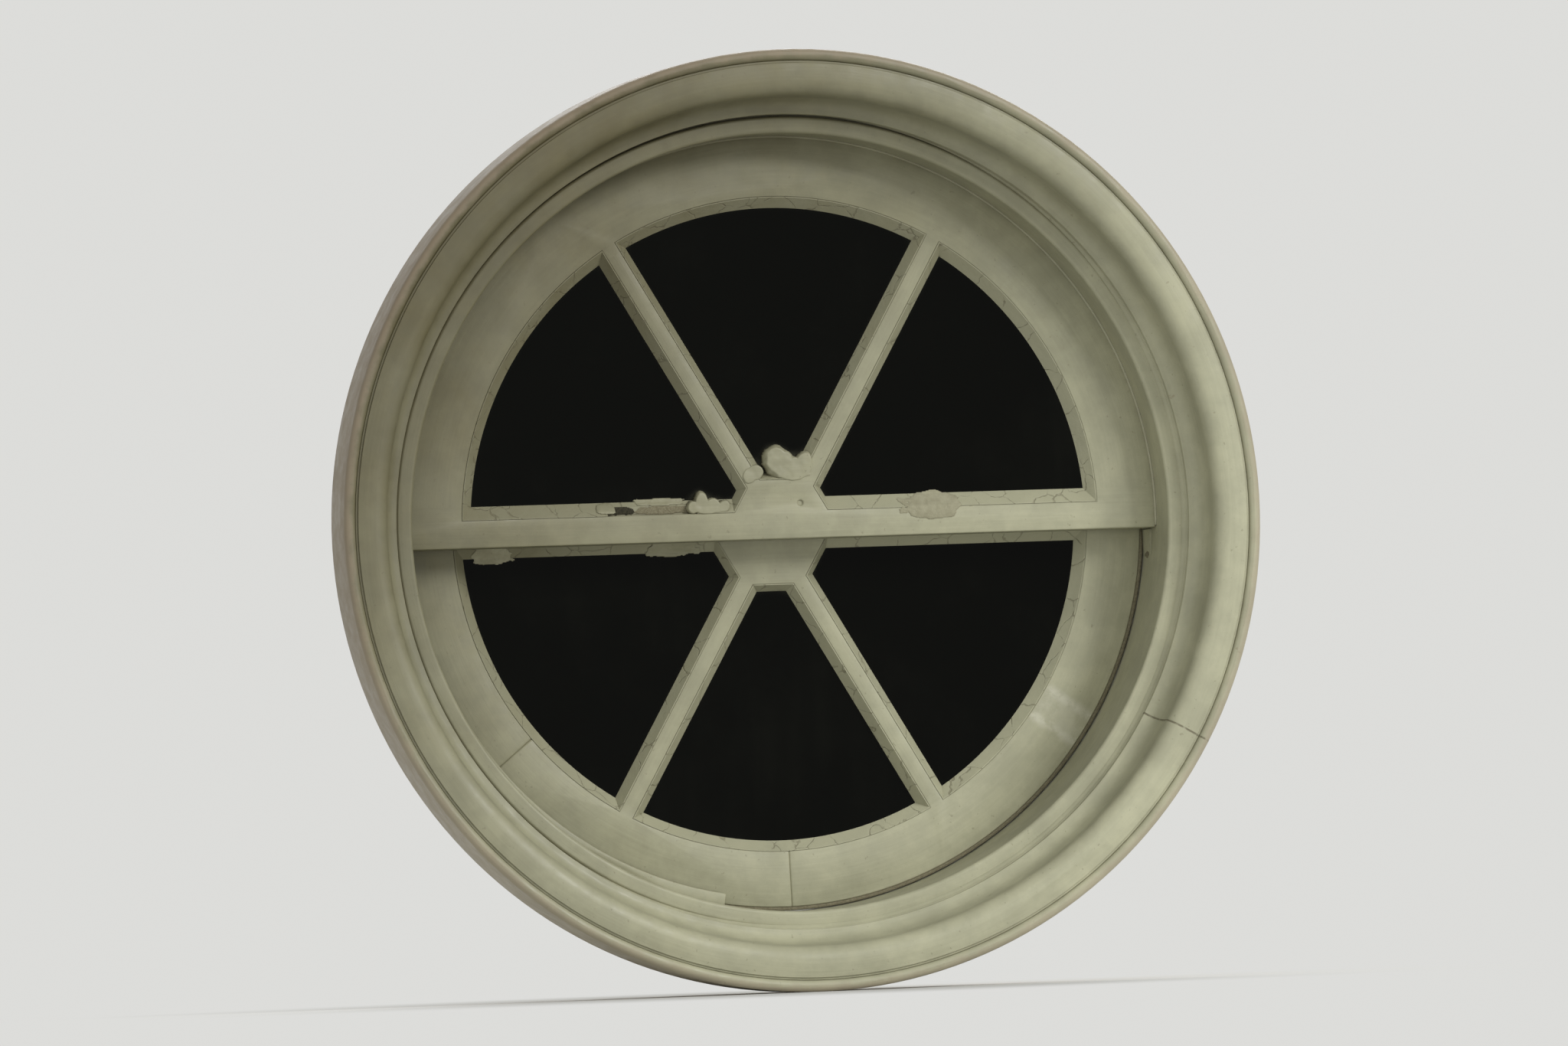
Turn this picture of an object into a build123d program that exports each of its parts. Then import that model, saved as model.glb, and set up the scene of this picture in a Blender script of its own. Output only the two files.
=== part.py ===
# Round wooden window: a moulded round casing on a jamb ring, a fixed upper half
# sash in the street plane and a lower half sash behind it that swings into the
# room on two pivot pins. Millimetres. The origin is the centre of the round
# opening, on the plane where the casing bears on the wall. The street is
# towards -Y, the room towards +Y, and +Z is up.
import os
from math import cos, pi, radians, sin, sqrt

from build123d import *

# Casing: the moulded ring on the street side
casing_radius = 305.0
casing_width = 40.5
casing_thickness = 42.0
casing_inner_edge = 12.0
lip_width = 7.5
quirk_width = 1.5
quirk_depth = 1.2
band_width = 11.0
band_fall = 1.5
ovolo_width = 10.0
ovolo_fall = 9.0
step_fall = 2.0
fillet_flat = 2.5
casing_relief = 0.3
relief_margin = 0.5
casing_segments = 4
casing_joint_angle = -30.0

# Jamb: the ring that lines the wall opening
jamb_reveal = 12.0
jamb_thickness = 25.5
jamb_depth = 112.0
nose_projection = 5.0
nose_width = 11.0
nose_rounding = 2.5
jamb_segments = 4
jamb_joint_angle = -10.0

# Sashes: two half rounds, one behind the other
sash_thickness = 28.5
upper_front = 26.0
plane_clearance = 1.0
upper_edge_clearance = 0.4
lower_edge_clearance = 3.0
upper_rim_width = 46.1
rebate_rim = 7.0
rebate_spoke = 5.5
rebate_hub = 4.5
rebate_rail = 9.0
room_moulding_width = 5.0
room_moulding_depth = 9.0
upper_joint_angles = [52.0, 128.0]
lower_joint_angles = [-38.0, -89.0, -141.0]
rim_overrun_angle = 10.0

# Rails, spokes and the divided hub
rail_underside = -10.0
upper_rail_sight = 17.0
lower_rail_sight = -16.0
spoke_width = 21.0
spoke_lean = 60.0
tenon_width = 9.0
tenon_thickness = 8.0
tenon_length = 10.0
hub_sides = 6
hub_radius = 44.0
hub_height = -5.0
button_radius = 9.0
button_rise = 4.0
button_dome = 3.0

# Glass and putty
glass_thickness = 3.0
glass_edge_clearance = 0.75
putty_depth = 6.5
putty_lip = 0.6
putty_break_from = 56.0
putty_break_to = 116.0
putty_break_depth = 4.0

# Stops on the jamb
room_stop_show = 6.0
room_stop_thickness = 13.0
stop_rail_clearance = 2.0
street_stop_width = 9.5
street_stop_thickness = 11.0
street_stop_clearance = 0.5
street_stop_first_angle = 205.0
street_stop_last_angle = 260.0

# Pivots of the lower sash
pivot_height = -2.0
pivot_pin_radius = 4.0
pivot_running_clearance = 0.1
pivot_pin_in_sash = 24.0
pivot_pin_in_jamb = 8.0
plate_thickness = 2.5
plate_proud = 1.5
plate_above_pin = 10.0
plate_below_pin = 38.0
plate_street_inset = 12.0
plate_behind_pin = 12.0
plate_rail_clearance = 1.0
plate_screw_drops = [26.0, 35.0]
plate_screw_inset = 8.0

# Small screws and casing nails
screw_radius = 1.5
screw_head_radius = 3.0
screw_length = 12.0
nail_radius = 1.4
nail_length = 45.0
nail_set = 4.0
nail_inset = 6.0
nails_per_segment = 3

# Barrel bolt on the room face of the lower sash, and its strike
bolt_radius = 3.2
bolt_tip_chamfer = 0.8
bolt_running_clearance = 0.1
bolt_travel = 10.0
bolt_tip_clearance = 2.0
bolt_length = 40.0
bolt_plate_width = 26.0
bolt_plate_height = 36.0
bolt_plate_thickness = 1.5
bolt_guide_width = 13.0
bolt_guide_length = 6.0
bolt_guide_wall = 1.8
bolt_guide_inset = 1.5
bolt_knob_reach = 13.0
bolt_knob_radius = 4.0
bolt_knob_neck = 2.2
bolt_screw_side = 9.5
bolt_screw_rise = 12.0
strike_width = 30.0
strike_depth = 17.0
strike_thickness = 1.5
strike_hole_radius = 4.9
strike_hole_depth = 9.0
strike_screw_side = 10.5

# Worked-out places
street_axis = Axis((0, 0, 0), (0, -1, 0))
quarter_turn = 90
half_turn = 180
full_turn = 360
casing_inner_radius = casing_radius - casing_width
jamb_inner_radius = casing_inner_radius - jamb_reveal
jamb_outer_radius = jamb_inner_radius + jamb_thickness
nose_radius = jamb_inner_radius + nose_width
upper_back = upper_front + sash_thickness
lower_front = upper_back + plane_clearance
lower_back = lower_front + sash_thickness
upper_radius = jamb_inner_radius - upper_edge_clearance
lower_radius = jamb_inner_radius - lower_edge_clearance
sight_radius = upper_radius - upper_rim_width
hub_flat = cos(pi / hub_sides)
spoke_leans = {"right": spoke_lean, "left": half_turn - spoke_lean}
rebate_depth = putty_depth + glass_thickness
tenon_inset = (sash_thickness + rebate_depth - tenon_thickness) / 2
pivot_depth = lower_front + sash_thickness / 2
plate_face = jamb_inner_radius - plate_proud
plate_street_edge = upper_front + plate_street_inset
nail_circle_radius = casing_inner_radius + nail_inset
nail_head_depth = nail_set - casing_inner_edge
bolt_plate_face = lower_back + bolt_plate_thickness
bolt_depth = bolt_plate_face + bolt_guide_wall + bolt_radius
bolt_tip = -(lower_radius - bolt_tip_clearance)
reach = 2 * casing_radius


def facing(depth):
    """Sketch plane at a depth behind the wall plane, seen from the street."""
    return Plane.XZ.offset(-depth)


def radial(angle):
    """Sketch plane through the window's axis: x is the radius, y the depth."""
    a = radians(angle)
    return Plane(origin=(0, 0, 0), x_dir=(cos(a), 0, sin(a)), z_dir=(-sin(a), 0, cos(a)))


def on_circle(radius, angle):
    """A point on a circle about the window's centre."""
    a = radians(angle)
    return (radius * cos(a), radius * sin(a))


def save(piece, name):
    """Label one finished piece and write its file."""
    piece.part.label = name
    export_step(piece.part, f"parts/{name}.step")


os.makedirs("parts", exist_ok=True)


# Outlines shared by the two half sashes


def beyond_rail(side, line):
    """Take away everything on the rail's side of the line in the open sketch."""
    with Locations((0, line - side * reach / 2)):
        Rectangle(reach, reach, mode=Mode.SUBTRACT)


def sector(start, end):
    """Keep only the sector from one angle to another in the open sketch."""
    middle = (start + end) / 2
    rays = [on_circle(reach, angle) for angle in (start, middle, end)]
    Polygon((0, 0), *rays, align=None, mode=Mode.INTERSECT)


def pane_outlines(depth, side, grow_rim, grow_rail, grow_spoke, grow_hub):
    """The three pane openings of one half, each edge moved outwards by its own amount."""
    sight_line = upper_rail_sight if side > 0 else lower_rail_sight
    with BuildSketch(facing(depth)) as outline:
        Circle(sight_radius + grow_rim)
        beyond_rail(side, sight_line - side * grow_rail)
        for lean in spoke_leans.values():
            with Locations(Location((0, hub_height, 0), (0, 0, side * lean))):
                Rectangle(
                    reach,
                    spoke_width - 2 * grow_spoke,
                    align=(Align.MIN, Align.CENTER),
                    mode=Mode.SUBTRACT,
                )
        with Locations((0, hub_height)):
            RegularPolygon(hub_radius - grow_hub / hub_flat, hub_sides, mode=Mode.SUBTRACT)
    return outline.sketch.faces().sort_by(Axis.X)


def sight_outlines(depth, side):
    """The openings as wide as the glass shows."""
    return pane_outlines(depth, side, 0, 0, 0, 0)


def rebate_outlines(depth, side, inset=0.0):
    """The openings out to the rebate's walls, less an inset."""
    return pane_outlines(
        depth,
        side,
        rebate_rim - inset,
        rebate_rail - inset,
        rebate_spoke - inset,
        rebate_hub - inset,
    )


def pane_cuts(front, side):
    """What the panes take out of the wood: sight holes, rebates, room-side moulding."""
    back = front + sash_thickness
    moulding = room_moulding_width
    with BuildPart() as cuts:
        for hole in sight_outlines(front, side):
            add(extrude(hole, amount=-sash_thickness, dir=(0, -1, 0), mode=Mode.PRIVATE))
        for rebate in rebate_outlines(front, side):
            add(extrude(rebate, amount=-rebate_depth, dir=(0, -1, 0), mode=Mode.PRIVATE))
        narrow = sight_outlines(back - room_moulding_depth, side)
        wide = pane_outlines(back, side, moulding, moulding, moulding, moulding)
        for near, far in zip(narrow, wide):
            loft([near, far], ruled=True)
    return cuts.part


def rim_segment(front, side, radius, start, end):
    """One curved length of a half sash's rim, standing on the rail."""
    sight_line = upper_rail_sight if side > 0 else lower_rail_sight
    with BuildPart() as rim:
        with BuildSketch(facing(front)):
            Circle(radius)
            Circle(sight_radius, mode=Mode.SUBTRACT)
            sector(start, end)
            beyond_rail(side, sight_line)
        extrude(amount=-sash_thickness)
    return rim.part


def spoke_blank(front, side, lean, radius, socket, width):
    """A straight bar from a hexagonal socket about the hub out to a radius."""
    sight_line = upper_rail_sight if side > 0 else lower_rail_sight
    with BuildSketch(facing(front)) as outline:
        with Locations(Location((0, hub_height, 0), (0, 0, side * lean))):
            Rectangle(reach, width, align=(Align.MIN, Align.CENTER))
        Circle(radius, mode=Mode.INTERSECT)
        with Locations((0, hub_height)):
            RegularPolygon(socket, hub_sides, mode=Mode.SUBTRACT)
        beyond_rail(side, sight_line)
    return outline.sketch


def tenon_bars(front, side, lean):
    """The spoke's core, long enough to be a tenon in the rim and in the hub."""
    blank = spoke_blank(
        front + tenon_inset,
        side,
        lean,
        sight_radius + tenon_length,
        hub_radius - tenon_length,
        tenon_width,
    )
    return extrude(blank, amount=-tenon_thickness, dir=(0, -1, 0), mode=Mode.PRIVATE)


# Casing


def casing_segment(start, sweep):
    """One length of the moulded casing, from its profile turned about the axis."""
    lip_spring = -casing_thickness + lip_width / 2
    lip_inner = casing_radius - lip_width
    band_face = -casing_thickness + band_fall
    band_outer = lip_inner - quirk_width
    band_inner = band_outer - band_width
    quirk_floor = band_face + quirk_depth
    ovolo_foot = band_face + ovolo_fall
    ovolo_inner = band_inner - ovolo_width
    cove_top = ovolo_foot + step_fall
    cove_inner = casing_inner_radius + fillet_flat
    edge = -casing_inner_edge
    relief_radius = jamb_outer_radius + relief_margin
    with BuildPart() as segment:
        with BuildSketch(radial(start)):
            with BuildLine():
                Polyline(
                    (casing_inner_radius, edge),
                    (casing_inner_radius, -casing_relief),
                    (relief_radius, -casing_relief),
                    (relief_radius, 0),
                    (casing_radius, 0),
                    (casing_radius, lip_spring),
                )
                RadiusArc((casing_radius, lip_spring), (lip_inner, lip_spring), lip_width / 2)
                Polyline(
                    (lip_inner, lip_spring),
                    (lip_inner, quirk_floor),
                    (band_outer, quirk_floor),
                    (band_outer, band_face),
                    (band_inner, band_face),
                )
                EllipticalCenterArc(
                    (band_inner, ovolo_foot),
                    ovolo_width,
                    ovolo_fall,
                    start_angle=half_turn,
                    arc_size=quarter_turn,
                )
                Line((ovolo_inner, ovolo_foot), (ovolo_inner, cove_top))
                Spline(
                    (ovolo_inner, cove_top),
                    (cove_inner, edge),
                    tangents=((0, 1), (-1, 0.35)),
                )
                Line((cove_inner, edge), (casing_inner_radius, edge))
            make_face()
        revolve(axis=street_axis, revolution_arc=sweep)
        add(casing_nails.part, mode=Mode.SUBTRACT)
    return segment


def nail_places():
    """Angles of the casing nails, clear of the joints."""
    count = casing_segments * nails_per_segment
    step = full_turn / count
    return [casing_joint_angle + step * (nail + 0.5) for nail in range(count)]


with BuildPart() as casing_nails:
    for angle in nail_places():
        x, z = on_circle(nail_circle_radius, angle)
        with Locations(Location((x, nail_head_depth, z), (-quarter_turn, 0, 0))):
            Cylinder(nail_radius, nail_length, align=(Align.CENTER, Align.CENTER, Align.MIN))
save(casing_nails, "casing_nails")

casing_names = ["casing_right", "casing_top", "casing_left", "casing_bottom"]
for index, name in enumerate(casing_names):
    sweep = full_turn / casing_segments
    save(casing_segment(casing_joint_angle + index * sweep, sweep), name)


# Pivot pins and plates of the lower sash


def pivot_place(side, radius):
    """A place on the pivot's axis, looking outwards to that side."""
    return Location((side * radius, pivot_depth, pivot_height), (0, side * quarter_turn, 0))


def pivot_pin(side):
    """A steel pin from inside the rail's end into the jamb."""
    length = pivot_pin_in_sash + lower_edge_clearance + pivot_pin_in_jamb
    with BuildPart() as pin:
        with Locations(pivot_place(side, lower_radius - pivot_pin_in_sash)):
            Cylinder(pivot_pin_radius, length, align=(Align.CENTER, Align.CENTER, Align.MIN))
    return pin


def plate_blank(side):
    """The plate's outline, let into the jamb beside the sash's top corner."""
    top = pivot_height + plate_above_pin
    bottom = pivot_height - plate_below_pin
    back = pivot_depth + plate_behind_pin
    shoulder = rail_underside - plate_rail_clearance
    start = side * plate_face
    with BuildPart() as blank:
        with BuildSketch(Plane.YZ.offset(start)):
            Polygon(
                (plate_street_edge, bottom),
                (back, bottom),
                (back, top),
                (lower_front, top),
                (lower_front, shoulder),
                (plate_street_edge, shoulder),
                align=None,
            )
        extrude(amount=side * plate_thickness)
    return blank


def screw(x, y, z, turn):
    """A countersunk screw with its flat head at the given place."""
    head = screw_head_radius - screw_radius
    with BuildPart() as one:
        with Locations(Location((x, y, z), turn)):
            Cone(
                screw_head_radius,
                screw_radius,
                head,
                align=(Align.CENTER, Align.CENTER, Align.MIN),
            )
            Cylinder(screw_radius, screw_length, align=(Align.CENTER, Align.CENTER, Align.MIN))
    return one.part


with BuildPart() as pivot_screws:
    for side in (-1, 1):
        for drop in plate_screw_drops:
            add(
                screw(
                    side * plate_face,
                    plate_street_edge + plate_screw_inset,
                    pivot_height - drop,
                    (0, side * quarter_turn, 0),
                )
            )
save(pivot_screws, "pivot_screws")

pivot_pins = {}
pivot_plates = {}
for side, word in ((-1, "left"), (1, "right")):
    pivot_pins[word] = pivot_pin(side)
    save(pivot_pins[word], f"pivot_pin_{word}")
    pivot_plates[word] = plate_blank(side)
    with BuildPart() as plate:
        add(pivot_plates[word].part)
        with Locations(pivot_place(side, 0)):
            Cylinder(
                pivot_pin_radius + pivot_running_clearance,
                reach,
                align=(Align.CENTER, Align.CENTER, Align.MIN),
                mode=Mode.SUBTRACT,
            )
        add(pivot_screws.part, mode=Mode.SUBTRACT)
    save(plate, f"pivot_plate_{word}")


# Strike for the bolt, let into the jamb at the bottom

strike_face = -sqrt(jamb_inner_radius**2 - (strike_width / 2) ** 2)

with BuildPart() as strike_screws:
    for place in (-strike_screw_side, strike_screw_side):
        add(screw(place, bolt_depth, strike_face, (half_turn, 0, 0)))
save(strike_screws, "strike_screws")

with BuildPart() as strike_blank:
    with Locations((0, bolt_depth, strike_face - strike_thickness / 2)):
        Box(strike_width, strike_depth, strike_thickness)

with BuildPart() as bolt_plate_strike:
    add(strike_blank.part)
    with Locations((0, bolt_depth, strike_face)):
        Cylinder(strike_hole_radius, strike_hole_depth, mode=Mode.SUBTRACT)
    add(strike_screws.part, mode=Mode.SUBTRACT)
save(bolt_plate_strike, "bolt_strike")


# Jamb


def jamb_segment(start, sweep):
    """One length of the jamb ring with its rounded nose inside the casing."""
    with BuildPart() as segment:
        with BuildSketch(radial(start)) as profile:
            with BuildLine():
                Polyline(
                    (jamb_inner_radius, -nose_projection),
                    (nose_radius, -nose_projection),
                    (nose_radius, 0),
                    (jamb_outer_radius, 0),
                    (jamb_outer_radius, jamb_depth),
                    (jamb_inner_radius, jamb_depth),
                    close=True,
                )
            make_face()
            nose = profile.vertices().group_by(Axis.Y)[0]
            fillet(nose, radius=nose_rounding)
        revolve(axis=street_axis, revolution_arc=sweep)
        for word in ("left", "right"):
            add(pivot_plates[word].part, mode=Mode.SUBTRACT)
        for side in (-1, 1):
            with Locations(pivot_place(side, lower_radius)):
                Cylinder(
                    pivot_pin_radius + pivot_running_clearance,
                    lower_edge_clearance + pivot_pin_in_jamb + pivot_running_clearance,
                    align=(Align.CENTER, Align.CENTER, Align.MIN),
                    mode=Mode.SUBTRACT,
                )
        add(strike_blank.part, mode=Mode.SUBTRACT)
        with Locations((0, bolt_depth, strike_face - strike_hole_depth)):
            Cylinder(
                strike_hole_radius,
                strike_hole_depth,
                align=(Align.CENTER, Align.CENTER, Align.MIN),
                mode=Mode.SUBTRACT,
            )
        for held in (casing_nails, pivot_screws, strike_screws):
            add(held.part, mode=Mode.SUBTRACT)
    return segment


jamb_names = ["jamb_right", "jamb_top", "jamb_left", "jamb_bottom"]
for index, name in enumerate(jamb_names):
    sweep = full_turn / jamb_segments
    save(jamb_segment(jamb_joint_angle + index * sweep, sweep), name)


# Stops on the jamb


def stop_segment(front, thickness, inner_radius, start, end):
    """A curved strip against the jamb, from one angle to another."""
    with BuildPart() as stop:
        with BuildSketch(facing(front)):
            Circle(jamb_inner_radius)
            Circle(inner_radius, mode=Mode.SUBTRACT)
            sector(start, end)
        extrude(amount=-thickness)
    return stop


stop_foot = pivot_height + sash_thickness / 2 + stop_rail_clearance
right_end = -rim_overrun_angle
left_end = half_turn + rim_overrun_angle
for word, start, end in (("right", right_end, quarter_turn), ("left", quarter_turn, left_end)):
    arch = stop_segment(upper_back, room_stop_thickness, sight_radius - room_stop_show, start, end)
    with BuildPart() as room_stop:
        add(arch.part)
        with Locations((0, upper_back, stop_foot)):
            Box(reach, reach, reach, align=(Align.CENTER, Align.CENTER, Align.MAX), mode=Mode.SUBTRACT)
    save(room_stop, f"room_stop_{word}")

street_stop = stop_segment(
    lower_front - street_stop_clearance - street_stop_thickness,
    street_stop_thickness,
    jamb_inner_radius - street_stop_width,
    street_stop_first_angle,
    street_stop_last_angle,
)
save(street_stop, "street_stop")


# Upper sash

upper_cuts = pane_cuts(upper_front, 1)
upper_tenons = {word: tenon_bars(upper_front, 1, lean) for word, lean in spoke_leans.items()}

upper_angles = [right_end] + upper_joint_angles + [left_end]
upper_names = ["upper_rim_right", "upper_rim_top", "upper_rim_left"]
for name, start, end in zip(upper_names, upper_angles, upper_angles[1:]):
    with BuildPart() as rim:
        add(rim_segment(upper_front, 1, upper_radius, start, end))
        add(upper_cuts, mode=Mode.SUBTRACT)
        add(upper_tenons.values(), mode=Mode.SUBTRACT)
    save(rim, name)

with BuildPart() as upper_rail:
    with BuildSketch(facing(upper_front)):
        Circle(upper_radius)
        beyond_rail(1, rail_underside)
        beyond_rail(-1, upper_rail_sight)
    extrude(amount=-sash_thickness)
    add(upper_cuts, mode=Mode.SUBTRACT)
save(upper_rail, "upper_meeting_rail")

for word, lean in spoke_leans.items():
    blank = spoke_blank(upper_front, 1, lean, sight_radius, hub_radius, spoke_width)
    with BuildPart() as spoke:
        extrude(blank, amount=-sash_thickness, dir=(0, -1, 0))
        add(upper_cuts, mode=Mode.SUBTRACT)
        add(upper_tenons[word])
    save(spoke, f"upper_spoke_{word}")

with BuildPart() as upper_hub:
    with BuildSketch(facing(upper_front)):
        with Locations((0, hub_height)):
            RegularPolygon(hub_radius, hub_sides)
        beyond_rail(1, upper_rail_sight)
    extrude(amount=-sash_thickness)
    add(upper_cuts, mode=Mode.SUBTRACT)
    add(upper_tenons.values(), mode=Mode.SUBTRACT)
save(upper_hub, "upper_hub")

# Lower sash

lower_cuts = pane_cuts(lower_front, -1)
lower_tenons = {word: tenon_bars(lower_front, -1, lean) for word, lean in spoke_leans.items()}

lower_angles = [-right_end] + lower_joint_angles + [-left_end]
lower_names = ["lower_rim_right", "lower_rim_bottom_right", "lower_rim_bottom_left", "lower_rim_left"]

bolt_plate_bottom = bolt_tip + bolt_tip_clearance / 2
bolt_plate_middle = bolt_plate_bottom + bolt_plate_height / 2
with BuildPart() as bolt_screws:
    for x in (-bolt_screw_side, bolt_screw_side):
        for z in (-bolt_screw_rise, bolt_screw_rise):
            add(screw(x, bolt_plate_face, bolt_plate_middle + z, (quarter_turn, 0, 0)))
save(bolt_screws, "bolt_screws")

for name, end, start in zip(lower_names, lower_angles, lower_angles[1:]):
    with BuildPart() as rim:
        add(rim_segment(lower_front, -1, lower_radius, start, end))
        add(lower_cuts, mode=Mode.SUBTRACT)
        add(lower_tenons.values(), mode=Mode.SUBTRACT)
        add(bolt_screws.part, mode=Mode.SUBTRACT)
    save(rim, name)

with BuildPart() as rail_envelope:
    with BuildSketch(facing(lower_front)):
        Circle(lower_radius)
    extrude(amount=-sash_thickness)

with BuildPart() as lower_rail:
    with BuildSketch(Plane.YZ.offset(-lower_radius)):
        with Locations((pivot_depth, pivot_height)):
            Circle(sash_thickness / 2)
            Rectangle(sash_thickness, sash_thickness, align=(Align.CENTER, Align.MAX))
        with Locations((pivot_depth, lower_rail_sight)):
            Rectangle(
                reach,
                sash_thickness,
                align=(Align.CENTER, Align.MAX),
                mode=Mode.SUBTRACT,
            )
    extrude(amount=2 * lower_radius)
    add(rail_envelope.part, mode=Mode.INTERSECT)
    add(lower_cuts, mode=Mode.SUBTRACT)
    for pin in pivot_pins.values():
        add(pin.part, mode=Mode.SUBTRACT)
save(lower_rail, "lower_top_rail")

for word, lean in spoke_leans.items():
    blank = spoke_blank(lower_front, -1, lean, sight_radius, hub_radius, spoke_width)
    with BuildPart() as spoke:
        extrude(blank, amount=-sash_thickness, dir=(0, -1, 0))
        add(lower_cuts, mode=Mode.SUBTRACT)
        add(lower_tenons[word])
    save(spoke, f"lower_spoke_{word}")

with BuildPart() as lower_hub:
    with BuildSketch(facing(lower_front)):
        with Locations((0, hub_height)):
            RegularPolygon(hub_radius, hub_sides)
        beyond_rail(-1, lower_rail_sight)
    extrude(amount=-sash_thickness)
    add(lower_cuts, mode=Mode.SUBTRACT)
    add(lower_tenons.values(), mode=Mode.SUBTRACT)
save(lower_hub, "lower_hub")


# Glass and putty of all six panes


def pane_glass(front, side, index):
    """One pane, a little smaller than its rebate."""
    outline = rebate_outlines(front + putty_depth, side, glass_edge_clearance)[index]
    with BuildPart() as glass:
        extrude(outline, amount=-glass_thickness, dir=(0, -1, 0))
    return glass


def pane_putty(front, side, index):
    """The sloping putty round one pane, from the rebate's edge down to the glass."""
    outer = rebate_outlines(front, side)[index]
    lip = rebate_outlines(front, side, putty_lip)[index]
    sight = sight_outlines(front + putty_depth, side)[index]
    with BuildPart() as putty:
        extrude(outer, amount=-putty_depth, dir=(0, -1, 0))
        loft([lip, sight], ruled=True, mode=Mode.SUBTRACT)
        if side > 0 and index == 0:
            length = putty_break_to - putty_break_from
            middle = -putty_break_from - length / 2
            with Locations((middle, upper_front, upper_rail_sight - rebate_rail / 2)):
                Box(length, 2 * putty_break_depth, 2 * rebate_rail, mode=Mode.SUBTRACT)
    return putty


putties = {}
for half, front, side in (("upper", upper_front, 1), ("lower", lower_front, -1)):
    for index, word in enumerate(("left", "middle", "right")):
        save(pane_glass(front, side, index), f"{half}_pane_{word}")
        putties[half, word] = pane_putty(front, side, index)
        save(putties[half, word], f"{half}_putty_{word}")


# A lump of painted putty over the hub, bedded on the middle pane's putty

with BuildPart() as hub_button:
    with BuildSketch(facing(upper_front + putty_depth)):
        with Locations((0, hub_height + hub_radius * hub_flat + button_rise)):
            Circle(button_radius)
    extrude(amount=putty_depth)
    fillet(hub_button.edges().group_by(Axis.Y)[0], radius=button_dome)
    add(putties["upper", "middle"].part, mode=Mode.SUBTRACT)
    add(upper_hub.part, mode=Mode.SUBTRACT)
save(hub_button, "hub_button")


# Barrel bolt


def bolt_guide(z):
    """One guide of the bolt, an arch on its plate."""
    spring = bolt_guide_wall + bolt_radius
    with BuildPart() as guide:
        with BuildSketch(Plane.XY.offset(z)):
            with Locations((0, bolt_depth)):
                Circle(bolt_radius + bolt_guide_wall)
            with Locations((0, bolt_plate_face)):
                Rectangle(2 * spring, spring, align=(Align.CENTER, Align.MIN))
                Rectangle(
                    bolt_guide_width,
                    bolt_guide_wall,
                    align=(Align.CENTER, Align.MIN),
                )
        extrude(amount=bolt_guide_length)
    return guide.part


low_guide = bolt_plate_bottom + bolt_guide_inset
high_guide = bolt_plate_bottom + bolt_plate_height - bolt_guide_inset - bolt_guide_length
with BuildPart() as bolt_plate:
    with Locations((0, lower_back + bolt_plate_thickness / 2, bolt_plate_middle)):
        Box(bolt_plate_width, bolt_plate_thickness, bolt_plate_height)
    for z in (low_guide, high_guide):
        add(bolt_guide(z))
    with Locations((0, bolt_depth, bolt_plate_middle)):
        Cylinder(bolt_radius + bolt_running_clearance, 2 * bolt_plate_height, mode=Mode.SUBTRACT)
    add(bolt_screws.part, mode=Mode.SUBTRACT)
save(bolt_plate, "bolt_plate")

knob_height = low_guide + bolt_guide_length + bolt_travel + bolt_knob_neck + bolt_running_clearance
with BuildPart() as bolt_rod:
    with Locations((0, bolt_depth, bolt_tip)):
        Cylinder(bolt_radius, bolt_length, align=(Align.CENTER, Align.CENTER, Align.MIN))
    chamfer(bolt_rod.edges().filter_by(GeomType.CIRCLE).group_by(Axis.Z)[0], length=bolt_tip_chamfer)
    with Locations(Location((0, bolt_depth, knob_height), (-quarter_turn, 0, 0))):
        Cylinder(bolt_knob_neck, bolt_knob_reach, align=(Align.CENTER, Align.CENTER, Align.MIN))
    with Locations((0, bolt_depth + bolt_knob_reach, knob_height)):
        Sphere(bolt_knob_radius)
save(bolt_rod, "bolt_rod")
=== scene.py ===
# Looks of the round window: old cream paint, sloping putty and dark glass over the
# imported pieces, with a pale floor, soft light and a camera low on the left. Metres.
from math import cos, pi, radians, sin

import bmesh
import bpy
from mathutils import Matrix, Quaternion, Vector, noise


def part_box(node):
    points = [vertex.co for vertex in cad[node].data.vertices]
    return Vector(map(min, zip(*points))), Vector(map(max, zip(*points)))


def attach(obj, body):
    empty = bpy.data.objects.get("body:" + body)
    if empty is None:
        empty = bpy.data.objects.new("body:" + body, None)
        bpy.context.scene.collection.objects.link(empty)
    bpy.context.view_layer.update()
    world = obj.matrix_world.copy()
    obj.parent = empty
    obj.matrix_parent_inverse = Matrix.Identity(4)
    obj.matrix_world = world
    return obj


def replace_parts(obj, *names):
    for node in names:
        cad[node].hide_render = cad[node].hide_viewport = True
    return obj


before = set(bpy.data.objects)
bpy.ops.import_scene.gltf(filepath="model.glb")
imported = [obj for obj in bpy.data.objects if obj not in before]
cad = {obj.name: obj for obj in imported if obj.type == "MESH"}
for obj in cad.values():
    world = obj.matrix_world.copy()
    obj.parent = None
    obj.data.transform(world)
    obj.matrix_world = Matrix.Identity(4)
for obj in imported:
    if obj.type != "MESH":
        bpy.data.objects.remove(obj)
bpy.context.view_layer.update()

MM = 0.001

# Sizes read from the frame
casing_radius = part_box("casing_right")[1].x
floor_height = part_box("casing_bottom")[0].z
upper_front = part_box("upper_meeting_rail")[0].y
lower_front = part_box("lower_hub")[0].y
glass_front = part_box("upper_pane_middle")[0].y
jamb_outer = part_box("jamb_top")[1].z
sash_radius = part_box("upper_rim_top")[1].z
hub_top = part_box("upper_hub")[1].z / MM
plate_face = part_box("pivot_plate_right")[0].x
putty_depth = glass_front - upper_front

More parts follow.
